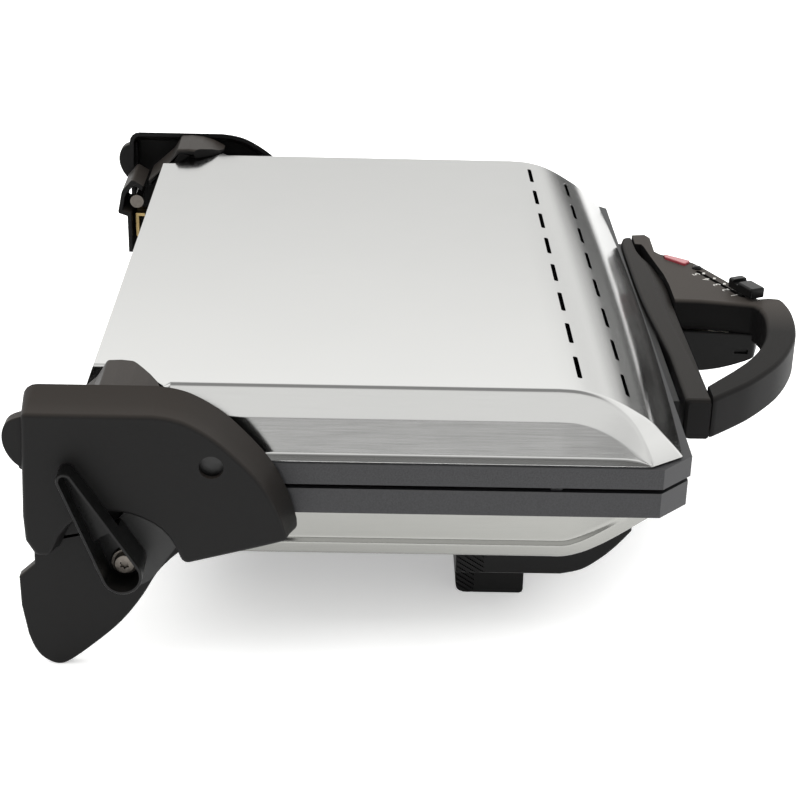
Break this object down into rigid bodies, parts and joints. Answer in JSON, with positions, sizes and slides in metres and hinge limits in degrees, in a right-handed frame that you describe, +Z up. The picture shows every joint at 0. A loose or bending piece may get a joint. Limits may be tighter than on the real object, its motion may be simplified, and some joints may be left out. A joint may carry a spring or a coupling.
{
  "type": "panini press",
  "caption": "Electric contact grill with a hinged, floating upper plate, a bow handle that holds the temperature control, and stainless covers on dark plastic arms.",
  "frame": {"origin": "on the surface it stands on, under the middle of its box", "axes": "+Z up, -Y towards the handle at the front, +X to the user's right"},
  "size_m": [0.422, 0.3731, 0.1365],
  "materials": {
    "stainless": "fine brushed, satin",
    "cast_plate": "non-stick coated casting, satin dark grey with a fine speckle",
    "dark_plastic": "fine spark-eroded texture, matt warm dark grey",
    "black_plastic": "matt black moulding",
    "plated_steel": "zinc plated, slightly dull",
    "passivated_steel": "yellow passivated, dull",
    "heater_tube": "heat darkened steel sheath",
    "red_lens": "clear red moulding",
    "ceramic": "unglazed off-white ceramic"
  },
  "bodies": {
    "base": {"lower_housing": "stainless", "lower_grill_plate": "cast_plate", "bottom_cover": "black_plastic", "front_stand": "black_plastic", "lower_heating_element": "heater_tube", "lower_heat_shield": "plated_steel", "terminal_block": "ceramic", "cord_gland": "black_plastic", "front_foot_left": "black_plastic", "rear_stand_left": "dark_plastic", "hinge_shaft_left": "plated_steel", "hinge_bracket_left": "plated_steel", "hinge_spring_left": "plated_steel", "hinge_washer_left": "plated_steel", "hinge_screw_left": "plated_steel", "front_foot_right": "black_plastic", "rear_stand_right": "dark_plastic", "hinge_shaft_right": "plated_steel", "hinge_bracket_right": "plated_steel", "hinge_spring_right": "plated_steel", "hinge_washer_right": "plated_steel", "hinge_screw_right": "plated_steel"},
    "arms": {"steel_arm_left": "plated_steel", "arm_cover_left": "dark_plastic", "arm_rear_box_left": "dark_plastic", "rear_box_screw_left": "plated_steel", "rear_box_bracket_left": "passivated_steel", "lid_pivot_bolt_left": "plated_steel", "steel_arm_right": "plated_steel", "arm_cover_right": "dark_plastic", "arm_rear_box_right": "dark_plastic", "rear_box_screw_right": "plated_steel", "rear_box_bracket_right": "passivated_steel", "lid_pivot_bolt_right": "plated_steel"},
    "lid": {"lid_cover": "stainless", "upper_grill_plate": "cast_plate", "upper_heating_element": "heater_tube", "upper_heat_shield": "plated_steel", "handle_bar": "dark_plastic", "handle_bow": "dark_plastic", "handle_bracket": "black_plastic", "control_panel_shell": "dark_plastic", "indicator_lens": "red_lens", "ready_lens": "black_plastic", "thermostat": "ceramic", "indicator_lamp": "red_lens", "lid_pivot_bracket_left": "plated_steel", "lid_corner_cover_left": "dark_plastic", "lid_pivot_bracket_right": "plated_steel", "lid_corner_cover_right": "dark_plastic"},
    "temperature_slider": {"temperature_slider": "black_plastic"},
    "lever_left": {"hinge_lever_left": "dark_plastic"},
    "lever_right": {"hinge_lever_right": "dark_plastic"}
  },
  "joints": [
    {"name": "arm_hinge", "type": "hinge", "parent": "base", "child": "arms", "pos_m": [0, 0.138, 0.0575], "axis": [-1, 0, 0], "range_deg": [0, 98]},
    {"name": "lid_float", "type": "hinge", "parent": "arms", "child": "lid", "pos_m": [0, 0.1, 0.105], "axis": [1, 0, 0], "range_deg": [0, 24.6]},
    {"name": "slider_travel", "type": "slide", "parent": "lid", "child": "temperature_slider", "axis": [0.8988, 0.4384, 0], "range_m": [0, 0.035]},
    {"name": "lever_left_turn", "type": "hinge", "parent": "base", "child": "lever_left", "pos_m": [-0.2, 0.138, 0.0575], "axis": [1, 0, 0], "range_deg": [0, 38]},
    {"name": "lever_right_turn", "type": "hinge", "parent": "base", "child": "lever_right", "pos_m": [0.2, 0.138, 0.0575], "axis": [1, 0, 0], "range_deg": [0, 38]}
  ],
  "couplings": [
    {"joint": "lid_float", "follows": "arm_hinge", "ratio": 0.25}
  ]
}
